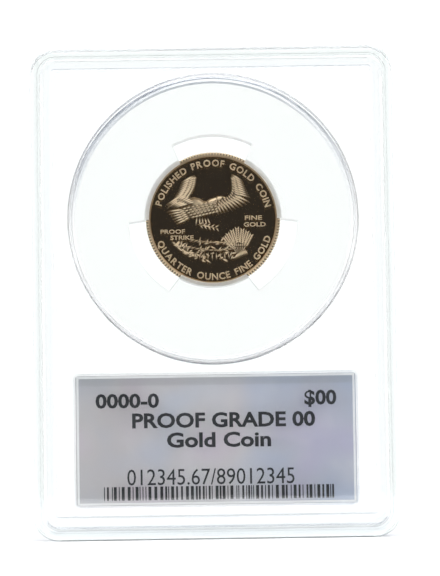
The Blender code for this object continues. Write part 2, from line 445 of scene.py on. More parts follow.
def make_insert():
    """The disc with its pronged opening and the groove for the coin."""
    insert = disc("coin_grip", INSERT_RADIUS, COIN_Z, -INSERT_REACH, INSERT_REACH)
    work(insert, "EDGE", level, bevel(INSERT_FILLET, 2))
    through = INSERT_REACH + MM
    opening = disc("opening", WINDOW_RADIUS, COIN_Z, -through, through)
    shrink = LIP_RADIUS / WINDOW_RADIUS
    work(opening, "VERT", in_prong, resize((shrink, 1, shrink), (0, 0, COIN_Z)))
    combine(insert, opening, "DIFFERENCE")
    groove_reach = COIN_REACH + RIM_CLEARANCE
    groove = disc("groove", COIN_RADIUS + RIM_CLEARANCE, COIN_Z, -groove_reach, groove_reach)
    combine(insert, groove, "DIFFERENCE")
    return insert


insert = make_insert()
smooth(insert)
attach(insert, "root")
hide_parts("coin_insert")

# %% [markdown]
# ## The coin's blank
#
# A coin is struck from a round blank: a raised rim, a flat mirror field and reeds milled
# round its edge. The disc gets its rim by two insets on each face, and every third line
# of its edge is drawn in to leave the reeds.

# %% Coin blank
RIM_WIDTH = 0.62 * MM
RIM_SLOPE = 0.15 * MM
FIELD_REACH = 0.6 * MM
CHAMFER = 0.25 * MM
RIM_FILLET = 0.3 * MM
REEDS = 140
REED_DEPTH = 0.02  # of the coin's radius
REED_STEP = 2 * math.pi / (3 * REEDS)
WALL_DEPTH = 0.12 * MM


def at_edge(edge):
    """Picks the level edges where the wall meets a face."""
    on_wall = all(near(from_axis(vert.co), COIN_RADIUS, HAIR) for vert in edge.verts)
    return on_wall and level(edge) and near(abs(edge.verts[0].co.y), COIN_REACH)


def rim_inner(edge):
    """Picks the inner edges of the rim."""
    return all(near(from_axis(vert.co), COIN_RADIUS - RIM_WIDTH, HAIR) for vert in edge.verts)


def third_line(vert):
    """Picks every third line of points along the wall."""
    angle = math.atan2(vert.co.z - COIN_Z, vert.co.x)
    on_wall = from_axis(vert.co) > COIN_RADIUS - WALL_DEPTH
    return on_wall and round(angle / REED_STEP) % 3 == 0


def make_blank():
    """The coin without its relief."""
    blank = disc("coin_blank", COIN_RADIUS, COIN_Z, -COIN_REACH, COIN_REACH, 3 * REEDS)
    drop = COIN_REACH - FIELD_REACH
    for side in (-1, 1):
        work(blank, "FACE", facing(side), inset(RIM_WIDTH), inset(RIM_SLOPE, -drop))
    work(blank, "EDGE", at_edge, bevel(CHAMFER, 3))
    shrink = 1 - REED_DEPTH
    moved = work(blank, "VERT", third_line, resize((shrink, 1, shrink), (0, 0, COIN_Z)))
    print(f"{moved} corners moved in for {REEDS} reeds")
    work(blank, "EDGE", rim_inner, bevel(RIM_FILLET, 4))
    return blank


blank = make_blank()
smooth(blank)
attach(blank, "root")
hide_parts("coin")

# %% [markdown]
# ## Materials as sums
#
# Node maths is easier to read as arithmetic. The Value class wraps a socket, so that
# `0.02 + 0.01 * noise` adds the Math nodes it needs. Every other node comes from one
# method, which sets what kind it is first and then fills its sockets.

# %% A number with signs
class Value:
    """A number socket that takes Python's arithmetic signs."""

    def __init__(self, finish, socket):
        self.finish = finish
        self.socket = socket

    def __add__(self, other):
        return self.finish.math("ADD", self, other)

    def __sub__(self, other):
        return self.finish.math("SUBTRACT", self, other)

    def __rsub__(self, other):
        return self.finish.math("SUBTRACT", other, self)

    def __mul__(self, other):
        return self.finish.math("MULTIPLY", self, other)

    def __abs__(self):
        return self.finish.math("ABSOLUTE", self)

    __radd__ = __add__
    __rmul__ = __mul__

# %% A finish and its nodes
class Finish:
    """One material or world, with the nodes that it is made of."""

    def __init__(self, data, **constants):
        self.data = data
        data.use_nodes = True
        self.tree = data.node_tree
        self.shader = self.tree.nodes.get("Principled BSDF") or self.tree.nodes["Background"]
        for name, value in constants.items():
            self.shader.inputs[name.replace("_", " ")].default_value = value

    def node(self, kind, settings=None, sockets=None):
        """Adds a node: what kind it is, its settings, then the values or links of its sockets."""
        node = self.tree.nodes.new(kind)
        for name, value in (settings or {}).items():
            if name == "stops":
                self.set_stops(node.color_ramp, value)
            else:
                setattr(node, name, value)
        for key, value in (sockets or {}).items():
            self.fill(node.inputs[key], value)
        return node

    def math(self, operation, first, second=0.0):
        """A number worked out from one or two others."""
        node = self.node("ShaderNodeMath", {"operation": operation}, {0: first, 1: second})
        return Value(self, node.outputs[0])

    def set_stops(self, ramp, stops):
        """Gives a colour ramp its (place, colour) stops."""
        while len(ramp.elements) < len(stops):
            ramp.elements.new(1.0)
        for element, (place, colour) in zip(ramp.elements, stops):
            element.position = place
            element.color = (*colour, 1)

    def fill(self, socket, value):
        """Links a socket to another, or sets its value. A colour is given without its alpha."""
        value = value.socket if isinstance(value, Value) else value
        if isinstance(value, bpy.types.NodeSocket):
            self.tree.links.new(value, socket)
        elif socket.type == "RGBA":
            socket.default_value = (*value, 1)
        else:
            socket.default_value = value

    def set(self, name, value):
        """Feeds one socket of the shader."""
        self.fill(self.shader.inputs[name], value)

    def place(self):
        """Where a point is on the object, in metres."""
        return self.node("ShaderNodeTexCoord").outputs["Object"]

    def stretched(self, scale):
        """Object coordinates drawn out along an axis."""
        sockets = {"Vector": self.place(), "Scale": scale}
        return self.node("ShaderNodeMapping", None, sockets).outputs[0]

    def axis(self, name):
        """One coordinate of the place, in millimetres."""
        split = self.node("ShaderNodeSeparateXYZ", None, {0: self.place()})
        return Value(self, split.outputs[name]) * 1000.0

    def noise(self, scale, detail=3.0, vector=None):
        """A soft random pattern, from 0 to 1."""
        sockets = {"Vector": vector or self.place(), "Scale": scale, "Detail": detail}
        return Value(self, self.node("ShaderNodeTexNoise", None, sockets).outputs["Fac"])

    def ramp(self, value, stops):
        """Colours along a value."""
        return self.node("ShaderNodeValToRGB", {"stops": stops}, {"Fac": value}).outputs["Color"]

    def span(self, value, start, end, low=0.0, high=1.0):
        """A smooth step from low to high while the value goes from start to end."""
        settings = {"interpolation_type": "SMOOTHSTEP"}
        sockets = {"Value": value, "From Min": start, "From Max": end, "To Min": low, "To Max": high}
        return Value(self, self.node("ShaderNodeMapRange", settings, sockets).outputs[0])

    def mix(self, factor, first, second):
        """A colour between two."""
        sockets = {0: factor, 6: first, 7: second}
        return self.node("ShaderNodeMix", {"data_type": "RGBA"}, sockets).outputs[2]

    def bump(self, height, strength, distance):
        """A normal from a height."""
        sockets = {"Height": height, "Strength": strength, "Distance": distance}
        return self.node("ShaderNodeBump", None, sockets).outputs[0]


def material(name, **constants):
    """A new material whose shader has these constants."""
    return Finish(bpy.data.materials.new(name), **constants)


def dress(piece, *finishes):
    """Gives a piece its materials, in slot order."""
    piece.data.materials.clear()
    for finish in finishes:
        piece.data.materials.append(finish.data)

# %% [markdown]
# ## Clear polystyrene
#
# The holder's plastic is clear and almost colourless. Full transmission with a refractive
# index of 1.55 gives the glassy edges. Its polish is never perfect: a slow noise moves the
# roughness, and fine handling scratches stand in the bump.
#
# One function makes seven plastics. Rounded edges are softer than any mesh can show, so
# they are partly see-through. The insert's lips and window walls are milky, because clear
# upright walls trap the light inside the disc and turn black when seen from the side.

# %% Clear plastic
REFRACTION = 1.55


def clear_plastic(name, tint_and_painted_shade, roughness, alpha=1.0, transmission=1.0):
    """Moulded clear plastic. Its colour is a tint, or a function that works one out: the panel, ring
    and frame functions paint shade and light.
    """
    finish = material(name, Transmission_Weight=transmission, IOR=REFRACTION, Alpha=alpha)
    cloud = finish.noise(180.0, 2.0)
    colour = tint_and_painted_shade(finish) if callable(tint_and_painted_shade) else finish.mix(cloud, tint_and_painted_shade, (0.99, 1.0, 0.995))
    finish.set("Base Color", colour)
    finish.set("Roughness", roughness + 0.03 * finish.span(cloud, 0.5, 0.8))
    scratches = finish.noise(900.0, 4.0, finish.stretched((0.15, 1.0, 1.6)))
    finish.set("Normal", finish.bump(scratches, 0.05, 0.00002))
    return finish

# %% Painted shade and light of the halves
# Painted light and shade: bright and dark bands across the frame, from its outline inwards.
FRAME_BANDS = [
    (0.00, (0.91, 0.93, 0.93)), (0.10, (0.96, 0.98, 0.98)), (0.26, (0.88, 0.905, 0.90)),
    (0.36, (0.94, 0.96, 0.955)), (0.46, (0.90, 0.915, 0.915)), (0.55, (0.92, 0.94, 0.935)),
    (0.64, (0.865, 0.895, 0.90)), (0.72, (0.92, 0.94, 0.95)), (0.80, (0.90, 0.925, 0.945)),
    (1.00, (0.95, 0.96, 0.97)),
]


def from_outline(finish):
    """How many millimetres a point lies inside the slab's outline."""
    from_side = WIDTH / 2 / MM - abs(finish.axis("X"))
    from_end = HEIGHT / 2 / MM - abs(finish.axis("Z") - HEIGHT / 2 / MM)
    return finish.math("MINIMUM", from_side, from_end)


def frame_painted_light(finish):
    """Painted light and shade: soft bright and dark bands that follow the outline, in place of light
    that runs along the tongue and groove.
    """
    drift = 0.12 * finish.noise(60.0, 2.0) - 0.06
    return finish.ramp(0.2 * from_outline(finish) + drift, FRAME_BANDS)


def panel_painted_shade(finish):
    """Painted shade: the panel is painted a little darker over its first millimetres, fading out more
    slowly at the left.
    """
    reach = from_outline(finish) + finish.span(finish.axis("X"), -25.0, -20.0, 0.0, 1.5)
    return finish.mix(finish.span(reach, 4.0, 6.5), (0.95, 0.965, 0.97), (0.98, 0.99, 0.987))


def ring_painted_shade(finish):
    """Painted shade: blue-grey painted in the upper half of the ring, strongest at the left shoulder,
    in place of the dark band that refraction at the chamber's shoulder shows.
    """
    height = finish.span(finish.axis("Z"), COIN_Z / MM - 6.0, COIN_Z / MM + 13.0)
    across = finish.axis("X")
    aside = finish.span(abs(across), 1.0, 11.0, 0.45, 1.0)
    leftness = finish.span(across, -8.0, 12.0, 1.0, 0.6)
    shade = height * aside * leftness * (0.7 + 0.5 * finish.noise(120.0, 2.0))
    return finish.mix(shade, (0.95, 0.955, 0.965), (0.44, 0.47, 0.54))

# %% The seven plastics
shell_plastic = clear_plastic("clear_polystyrene", panel_painted_shade, 0.0)
edge_plastic = clear_plastic("moulded_edges", (0.88, 0.92, 0.93), 0.18, 0.5)
ring_plastic = clear_plastic("chamber_ring", ring_painted_shade, 0.10, 0.75)
frame_plastic = clear_plastic("frame_light_bands", frame_painted_light, 0.04)
grip_plastic = clear_plastic("clear_grip_plastic", (0.98, 0.985, 0.98), 0.02)
lip_plastic = clear_plastic("frosted_lips", (0.98, 0.965, 0.94), 0.30, 1.0, 0.45)
window_plastic = clear_plastic("window_edges", (0.98, 0.98, 0.98), 0.35, 1.0, 0.25)

# %% [markdown]
# ## Which face gets which plastic
#
# One mesh can carry several finishes. Each face knows the number of its finish, so the
# faces are picked by place, as in edit mode, and given another number. The slots are
# numbered in the order in which dress() hands the finishes over, and 0 is what is left.

# %% Dress the plastics
EDGE, RING, FRAME = 1, 2, 3
LIP, WINDOW = 1, 2
RIM = 1


def frost(piece, slot, chosen):
    """Moves the faces that chosen() picks to another of the piece's finishes."""
    faces = [face for face in piece.data.polygons if chosen(piece, face)]
    for face in faces:
        face.material_index = slot
    print(f"{piece.name}: {len(faces)} faces in finish {slot}")


def corners(piece, face):
    """The corner points of a face."""
    return [piece.data.vertices[index].co for index in face.vertices]


def in_frame(piece, face):
    """Flat faces of the frame round the panel, and its tongue and groove."""
    frame_band = FRONT_RIDGE_START + FRONT_RIDGE_WIDTH + HAIR
    return all(slab_inset(point) < frame_band for point in corners(piece, face))


def sloping(piece, face):
    """Slopes, fillets and inner walls, but not the slab's outer sides."""
    outer_side = slab_inset(face.center) < 2 * HAIR and abs(face.normal.y) < 0.05
    return abs(face.normal.y) < 0.97 and not outer_side


def round_coin(piece, face):
    """The walls of the chamber and the slope of the boss."""
    inside, outside = CHAMBER_RADIUS - MM, BOSS_RADIUS + 0.1 * MM
    return sloping(piece, face) and inside < from_axis(face.center) < outside


for half in (front_half, back_half):
    dress(half, shell_plastic, edge_plastic, ring_plastic, frame_plastic)
    frost(half, FRAME, in_frame)
    frost(half, EDGE, sloping)
    frost(half, RING, round_coin)


def on_lip(piece, face):
    """The front faces of the three lips that reach over the coin's rim."""
    reach = COIN_RADIUS + RIM_CLEARANCE + 0.05 * MM
    return all(point.y < 0 and from_axis(point) < reach for point in corners(piece, face))


def window_wall(piece, face):
    """The upright walls of the windows and of the groove."""
    return abs(face.normal.y) < 0.9 and from_axis(face.center) < INSERT_RADIUS - 0.5 * MM


dress(insert, grip_plastic, lip_plastic, window_plastic)
frost(insert, WINDOW, window_wall)
frost(insert, LIP, on_lip)

# %% [markdown]
# ## Proof gold
#
# A proof coin shows one gold in three finishes. The field is polished to a mirror, the
# relief is frosted, and the rim and its reeds are satin from the collar of the press.

# %% Mirror gold
GOLD = (0.80, 0.56, 0.27)


def mirror_gold():
    """Polished gold with a faint haze and hairlines."""
    finish = material("polished_gold", Metallic=1.0)
    haze = finish.noise(400.0, 3.0)
    finish.set("Base Color", finish.mix(haze, GOLD, (0.88, 0.64, 0.34)))
    finish.set("Roughness", 0.04 + 0.08 * haze)
    hairlines = finish.noise(1500.0, 2.0, finish.stretched((0.2, 1.0, 2.0)))
    finish.set("Normal", finish.bump(hairlines, 0.05, 0.00001))
    return finish

# %% Frosted gold
def frosted_gold(name, paints_valley_shade):
    """Sand-blasted gold; on strokes with a crest, painted shade darkens the valleys between them."""
    finish = material(name, Metallic=1.0)
    grain = finish.noise(6000.0, 2.0)
    cloud = finish.noise(700.0, 2.0)
    pale = finish.mix(cloud, (0.52, 0.40, 0.26), (0.74, 0.60, 0.42))
    if paints_valley_shade:
        # Painted shade: the valleys between strokes, away from each stroke's crest, are painted dark
        # brown.
        crest = finish.node("ShaderNodeAttribute", {"attribute_name": "crest"}).outputs["Fac"]
        pale = finish.mix(finish.span(Value(finish, crest), 0.62, 0.97), (0.10, 0.07, 0.04), pale)
    finish.set("Base Color", pale)
    finish.set("Roughness", 0.27 + 0.12 * grain)
    finish.set("Normal", finish.bump(grain, 0.3, 0.00002))
    return finish

# %% Satin rim
def satin_gold():
    """The rim: satin from the collar of the press, with painted shade in the valleys of its reeds and
    painted highlight on their crests.
    """
    finish = material("satin_rim_gold", Metallic=1.0)
    cloud = finish.noise(700.0, 3.0)
    rim = finish.mix(cloud, (0.22, 0.165, 0.105), (0.38, 0.30, 0.21))
    across = finish.axis("X")
    up = finish.axis("Z") - COIN_Z / MM
    # Painted light and shade round the outermost edge: dark stripes in the reeds' valleys, bright
    # ones on their crests.
    reed_angle = REEDS * finish.math("ARCTAN2", up, across)
    valley_shade = finish.span(finish.math("COSINE", reed_angle), -0.6, 0.5)
    from_middle = finish.math("SQRT", across * across + up * up)
    outermost = finish.span(from_middle, 10.5, 10.75)
    reeds = finish.mix(valley_shade, (0.72, 0.58, 0.40), (0.09, 0.065, 0.035))
    finish.set("Base Color", finish.mix(outermost, rim, reeds))
    finish.set("Roughness", 0.30 + 0.15 * cloud)
    finish.set("Normal", finish.bump(finish.noise(2500.0, 2.0), 0.2, 0.00002))
    return finish

# %% Dress the coin
polished = mirror_gold()
frosted = frosted_gold("frosted_gold", False)
feathered = frosted_gold("frosted_relief_gold_valley_shade", True)
dress(blank, polished, satin_gold())
rim_start = COIN_RADIUS - RIM_WIDTH - RIM_SLOPE - HAIR
frost(blank, RIM, lambda piece, face: from_axis(face.center) > rim_start)

# %% [markdown]
# ## The relief
#
# The struck picture is a bird in flight over laurel, with a sheaf beside it: a design of
# our own in the manner of such coins. A die cutter builds it from the same few strokes,
# so one leaf-shaped stroke is modelled here and laid down many times. A sphere with its
# poles drawn out gives the stroke; rows of strokes give feathers, leaves and grain.

# %% One stroke of the relief
FIELD_Y = -FIELD_REACH


def make_stroke():
    """A leaf shape one unit long, from x = 0 to x = 1, with a pointed far end."""
    bpy.ops.mesh.primitive_uv_sphere_add(
        segments=10, ring_count=7, radius=0.5, location=(0.5, 0, 0), rotation=(0, math.pi / 2, 0)
    )
    stroke = settle(bpy.context.object, "stroke")
    work(stroke, "VERT", lambda vert: vert.co.x > 0.6, resize((1, 1, 0.75), (0.5, 0, 0)))
    # The crest runs from 0 at a stroke's edge to 1 at its top; it places the relief gold's painted
    # valley shade.
    crest = stroke.data.attributes.new("crest", "FLOAT", "POINT")
    crest.data.foreach_set("value", [2 * abs(vert.co.y) for vert in stroke.data.vertices])
    return stroke


stroke = make_stroke()
strokes = []


def lay(u, w, angle, length, width, height, lift=0.0):
    """Lays one stroke from (u, w) millimetres from the coin's centre, at an angle in degrees."""
    place = Matrix.Translation((u * MM, FIELD_Y - lift * MM, COIN_Z + w * MM))
    turn = Matrix.Rotation(-math.radians(angle), 4, "Y")
    size = Matrix.Diagonal((length * MM, 2 * height * MM, width * MM, 1))
    copy = bpy.data.objects.new("stroke_copy", stroke.data.copy())
    copy.data.transform(place @ turn @ size)
    bpy.context.collection.objects.link(copy)
    strokes.append(copy)


def row(start, end, angles, lengths, count, width, height, bow=0.0, lift=0.0):
    """A row of strokes between two points, turning and growing from one to the other."""
    for index in range(count):
        part = index / (count - 1)
        swell = bow * math.sin(math.pi * part)
        u = start[0] + (end[0] - start[0]) * part + swell * (end[1] - start[1])
        w = start[1] + (end[1] - start[1]) * part - swell * (end[0] - start[0])
        angle = angles[0] + (angles[1] - angles[0]) * part
        length = lengths[0] + (lengths[1] - lengths[0]) * part
        lay(u, w, angle, length, width, height, lift + 0.01 * (index % 2))


def join(parts, name):
    """Joins the laid pieces into one object."""
    bpy.ops.object.select_all(action="DESELECT")
    for part in parts:
        part.select_set(True)
    bpy.context.view_layer.objects.active = parts[0]
    bpy.ops.object.join()
    parts.clear()
    return call(bpy.context.object, name)

# %% [markdown]
# ## A bird in flight
#
# Real wings are rows of feathers that lap over each other, long ones at the back and short
# ones at the front. Each row here runs from one point to another while its strokes turn
# and grow, which is how an engraver cuts them. Later rows sit a little higher, so that
# their tips cast the fine shadow lines between feathers.

# %% The bird
def draw_bird():
    """Wings in three rows each, a tail, a body of short feathers and a plain head."""
    lay(-4.9, 1.1, 13, 6.6, 2.9, 0.30)
    lay(-4.2, 3.2, -22, 4.6, 2.2, 0.28)
    lay(-1.4, 2.2, 26, 3.3, 1.4, 0.34)
    row((-2.8, 7.2), (-4.1, 4.2), (206, 215), (2.6, 4.2), 11, 0.46, 0.16, -0.08)
    row((-4.4, 4.4), (-3.4, 2.8), (212, 196), (3.9, 3.2), 6, 0.50, 0.17)
    row((-2.7, 7.0), (-4.0, 4.1), (208, 214), (1.5, 2.4), 10, 0.40, 0.22, -0.08, 0.04)
    row((-4.2, 4.3), (-2.6, 2.9), (214, 190), (2.2, 1.8), 6, 0.42, 0.24, 0.0, 0.05)
    row((-2.6, 6.9), (-3.7, 3.9), (214, 210), (0.8, 1.1), 11, 0.34, 0.26, -0.08, 0.07)
    row((3.1, 7.3), (3.3, 4.4), (-32, -18), (2.2, 3.0), 8, 0.46, 0.16)
    row((3.3, 4.1), (0.2, 2.5), (-28, -68), (3.2, 1.9), 10, 0.46, 0.17)
    row((3.1, 7.0), (3.2, 4.5), (-40, -28), (1.2, 1.7), 8, 0.38, 0.22, 0.0, 0.04)
    row((3.2, 4.1), (0.4, 2.7), (-34, -68), (1.9, 1.3), 9, 0.40, 0.24, 0.0, 0.05)
    row((3.0, 6.8), (0.4, 3.1), (-50, -66), (0.8, 0.8), 13, 0.34, 0.28, -0.3, 0.06)
    row((-4.4, 1.7), (-3.8, 0.3), (187, 205), (3.1, 2.5), 6, 0.46, 0.16)
    row((-4.3, 1.5), (-3.7, 0.4), (190, 204), (1.5, 1.3), 5, 0.44, 0.22, 0.0, 0.04)
    lay(0.4, 3.15, 18, 1.5, 1.0, 0.36, 0.05)
    lay(1.6, 3.6, -24, 0.7, 0.32, 0.24, 0.1)
    for line in range(5):
        row(
            (-4.2 + 0.35 * line, 1.9 - 0.35 * line), (0.6 + 0.1 * line, 3.1 - 0.42 * line),
            (196, 208), (0.9, 0.8), 8, 0.36, 0.16, 0.0, 0.22 + 0.03 * min(line, 4 - line),
        )
    row((-2.6, 0.4), (-0.9, 0.2), (262, 292), (1.5, 1.3), 5, 0.34, 0.18)

# %% [markdown]
# ## Laurel and grain
#
# The foot of the design is a bank of leaves. They are scattered by a random generator with
# a fixed seed, so the coin comes out the same each time, and three tidy rows hold the bank
# together. The sheaf is seven stems that fan out of one band, with grains in pairs.

# %% The laurel and the sheaf
BANK_LEAVES = 95
FIELD_ROOM = 8.0  # millimetres from the centre that the picture may fill
EARS = 7
GRAINS = 7
SHEAF_FOOT = (4.3, -6.2)


def draw_laurel(rng):
    """A dense bank of leaves along the foot of the field, with a sprig in the bird's feet."""
    for index in range(BANK_LEAVES):
        u = rng.uniform(-6.8, 3.0)
        top = -3.7 - 0.10 * abs(u)
        bottom = -math.sqrt(max(FIELD_ROOM**2 - u * u, 1.0)) + 0.7
        w = rng.uniform(max(bottom, -6.9), top)
        lay(u, w, rng.uniform(-35, 75), rng.uniform(0.8, 1.3), 0.34, rng.uniform(0.1, 0.22))
    row((-3.9, -3.6), (2.6, -3.7), (20, -10), (1.1, 1.1), 12, 0.26, 0.26, 0.03, 0.05)
    row((-4.6, -4.6), (2.8, -4.8), (12, -8), (1.2, 1.1), 11, 0.26, 0.26, 0.05, 0.05)
    row((-3.0, -6.5), (2.6, -6.6), (80, 100), (1.3, 1.3), 9, 0.24, 0.2, 0.02, 0.02)
    lay(-2.6, -0.8, -12, 3.6, 0.22, 0.12)
    for index in range(5):
        lay(-2.3 + 0.65 * index, -0.9 - 0.13 * index, 35, 0.8, 0.30, 0.14)
        lay(-2.1 + 0.65 * index, -0.9 - 0.13 * index, -55, 0.8, 0.30, 0.14)


def draw_sheaf():
    """Seven ears of grain that fan out of one band."""
    foot_u, foot_w = SHEAF_FOOT
    for ear in range(EARS):
        angle = 62 + 11 * ear
        reach = 4.6 - 0.22 * abs(ear - EARS // 2)
        lean = math.radians(angle)
        lay(foot_u, foot_w, angle, reach, 0.24, 0.12, 0.02 * (ear % 2))
        for grain in range(GRAINS):
            along = reach * (0.48 + 0.075 * grain)
            u = foot_u + along * math.cos(lean)
            w = foot_w + along * math.sin(lean)
            for side in (-1, 1):
                lay(u, w, angle + 28 * side, 0.75, 0.32, 0.2, 0.04)
    row((3.5, -4.6), (5.1, -4.6), (90, 90), (0.6, 0.6), 6, 0.34, 0.26, 0.0, 0.1)
    row((3.4, -6.6), (5.6, -5.9), (60, 120), (1.1, 1.1), 9, 0.36, 0.18)


draw_bird()
draw_laurel(random.Random(7))
draw_sheaf()
relief = join(strokes, "coin_relief")

# %% [markdown]
# ## The other side
#
# A wreath, a star and a ring of beads make a plain second side. It is drawn facing the
# front like the first one, and then its mesh is turned half round the upright axis, which
# carries it to the back field.

# %% The back of the coin
WREATH_PAIRS = 13
WREATH_RADIUS = 7.0
BEADS = 72
BEAD_RADIUS = 9.45


def draw_back():
    """A wreath of leaf pairs round a star, with a row of beads: drawn facing the front."""
    for index in range(2 * WREATH_PAIRS):
        turn = -1 if index < WREATH_PAIRS else 1
        angle = 270 - 30 * turn + 11.5 * turn * (index % WREATH_PAIRS)
        lean = math.radians(angle)
        u = WREATH_RADIUS * math.cos(lean)
        w = WREATH_RADIUS * math.sin(lean)
        for spread in (-38, 0, 38):
            lay(u, w, angle - 90 * turn + 180 + spread, 1.7, 0.62, 0.16, 0.02 * (index % 2))
    for point in range(5):
        lay(0, 0, 90 + 72 * point, 3.6, 1.5, 0.34)
        lay(0, 0, 54 + 72 * point, 1.5, 0.7, 0.22)
    for bead in range(BEADS):
        lean = 2 * math.pi * bead / BEADS
        u = BEAD_RADIUS * math.cos(lean)
        w = BEAD_RADIUS * math.sin(lean)
        lay(u, w, math.degrees(lean), 0.36, 0.36, 0.12)


draw_back()
back_relief = join(strokes, "coin_back_relief")
back_relief.data.transform(Matrix.Rotation(math.pi, 4, "Z"))
bpy.data.objects.remove(stroke, do_unlink=True)
for piece in (relief, back_relief):
    smooth(piece, 60)
    dress(piece, feathered)
    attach(piece, "root")

# %% [markdown]
# ## Lettering
#
# Text objects give the letters of the legend and of the label. A text becomes a mesh
# first and is put in its place after that, so the finished mesh holds its own place. The
# words are plain: they say what the thing is and name nobody.

# %% Letters
LETTER_DEPTH = 0.1  # of a letter of size one
STAND = Matrix.Rotation(math.pi / 2, 4, "X")  # from lying flat to facing the front


def letters(text, weight, round_edge):
    """A mesh of some text, one unit high, flat in XY, centred on its depth."""
    bpy.ops.object.text_add(location=(0, 0, 0))
    words = bpy.context.object
    words.data.body = text
    words.data.offset = weight
    words.data.resolution_u = 3
    words.data.extrude = LETTER_DEPTH / 2
    words.data.bevel_depth = round_edge
    words.data.bevel_resolution = 1
    only(words)
    bpy.ops.object.convert(target="MESH")
    return bpy.context.object


def box_of(piece):
    """The lowest and highest corners of a mesh."""
    columns = list(zip(*(vert.co for vert in piece.data.vertices)))
    return Vector([min(column) for column in columns]), Vector([max(column) for column in columns])

# %% Letters round the rim
CAP_HEIGHT = 0.70  # of a letter of size one
SPACE_WIDTH = 0.35
LETTER_HEIGHT = 1.05 * MM
LEGEND_RADIUS = 8.7 * MM
LOWER_LEGEND_RADIUS = LEGEND_RADIUS + 1.2 * MM
STRUCK_EDGE = 0.02


def arc_legend(text, start, end, upright, baseline):
    """Letters round the coin from one angle to another, in degrees, spaced by their widths."""
    size = LETTER_HEIGHT / CAP_HEIGHT
    made = [None if sign == " " else letters(sign, 0.0, STRUCK_EDGE) for sign in text]
    boxes = [box_of(letter) if letter else None for letter in made]
    widths = [box[1].x - box[0].x if box else SPACE_WIDTH for box in boxes]
    room = abs(math.radians(end - start)) * baseline / size
    gap = (room - sum(widths)) / (len(text) - 1)
    along = 0.0
    for letter, box, width in zip(made, boxes, widths):
        angle = math.radians(start + (end - start) * (along + width / 2) / room)
        along += width + gap
        if letter is None:
            continue
        centre = Matrix.Translation((-(box[0].x + box[1].x) / 2, 0, 0))
        lean = angle - math.pi / 2 if upright else angle + math.pi / 2
        turn = Matrix.Rotation(-lean, 4, "Y")
        spot = (baseline * math.cos(angle), FIELD_Y, COIN_Z + baseline * math.sin(angle))
        place = Matrix.Translation(spot) @ turn @ STAND
        letter.data.transform(place @ Matrix.Scale(size, 4) @ centre)
    return [letter for letter in made if letter]

# %% Letters that fill a box
def fitted(text, box, centre_z, y, thick, weight=0.0, round_edge=0.0):
    """Letters that fill a box (left, right, bottom, top) in millimetres, facing the front."""
    words = letters(text, weight, round_edge)
    low, high = box_of(words)
    wide, tall, deep = high - low
    left, right, bottom, top = (edge * MM for edge in box)
    size = Matrix.Diagonal(((right - left) / wide, (top - bottom) / tall, thick / deep, 1))
    start = Matrix.Translation((-low.x, -low.y, 0))
    place = Matrix.Translation((left, y, centre_z + bottom))
    words.data.transform(place @ STAND @ size @ start)
    return words

# %% The coin's legend
MOTTO_DEPTH = 0.14 * MM
MOTTOES = [
    ("FINE", (5.2, 8.0, -0.2, 0.5)), ("GOLD", (5.0, 8.6, -1.3, -0.6)),
    ("PROOF", (-8.6, -4.6, -2.3, -1.6)), ("STRIKE", (-7.0, -3.2, -3.3, -2.6)),
]


def make_legend():
    """The words round the rim and the two small mottoes."""
    made = arc_legend("POLISHED PROOF GOLD COIN", 165, 12, True, LEGEND_RADIUS)
    made += arc_legend("QUARTER OUNCE FINE GOLD", 202, 342, False, LOWER_LEGEND_RADIUS)
    for text, box in MOTTOES:
        made.append(fitted(text, box, COIN_Z, FIELD_Y, MOTTO_DEPTH, 0.0, STRUCK_EDGE))
    return join(made, "coin_legend")


legend = make_legend()
smooth(legend, 40)
dress(legend, frosted)
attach(legend, "root")

# %% [markdown]
# ## Card and seal
#
# The card and the foil seal keep the CAD's own shape, because a flat card has nothing
# finer to show. Only their finish is made here. The card is grey with a drift to blue and
# a few faint tints, and a painted highlight line runs just inside its edge. The seal is
# embossed foil: its colour bands stand for the diffraction that makes such seals hard to copy.

# %% Card
TINTS = [
    (0.0, (0.57, 0.56, 0.72)), (0.35, (0.74, 0.62, 0.62)), (0.5, (0.72, 0.70, 0.59)),
    (0.65, (0.58, 0.67, 0.70)), (1.0, (0.50, 0.54, 0.74)),
]


DRIFT = [
    (0.0, (0.545, 0.52, 0.575)), (0.14, (0.57, 0.545, 0.615)), (0.37, (0.61, 0.595, 0.665)),
    (0.62, (0.63, 0.60, 0.67)), (0.80, (0.50, 0.515, 0.64)), (1.0, (0.46, 0.49, 0.64)),
]


def card_stock():
    """Printed card: grey turning blue to the right, faint tints, a painted shadow along its top and a
    painted highlight line inside its edge.
    """
    finish = material("printed_card", Roughness=0.6)
    across = finish.axis("X")
    above = finish.axis("Z") - CARD_Z / MM
    ground = finish.ramp(finish.span(across, -22.0, 22.0), DRIFT)
    marbling = finish.span(finish.noise(150.0, 4.0), 0.45, 0.75, 0.0, 0.3)
    ground = finish.mix(marbling, ground, (0.80, 0.80, 0.86))
    tints = finish.ramp(finish.noise(95.0, 1.0), TINTS)
    ground = finish.mix(0.28, ground, tints)
    # Painted shadow: a darker strip along the card's top edge, where the pocket's top wall shades it.
    ground = finish.mix(0.35 * finish.span(above, 8.7, 9.0), ground, (0.42, 0.43, 0.45))
    from_side = CARD_WIDTH / 2 / MM - abs(across)
    from_edge = finish.math("MINIMUM", from_side, CARD_HEIGHT / 2 / MM - abs(above))
    # Painted highlight: a bright line just inside the card's edge, where the pocket's edge catches
    # the light.
    pocket_edge_light = finish.span(from_edge, 0.56, 0.48) * finish.span(from_edge, 0.12, 0.18)
    finish.set("Base Color", finish.mix(pocket_edge_light, ground, (1.0, 1.0, 1.0)))
    finish.set("Normal", finish.bump(finish.noise(4000.0, 3.0), 0.15, 0.00002))
    return finish

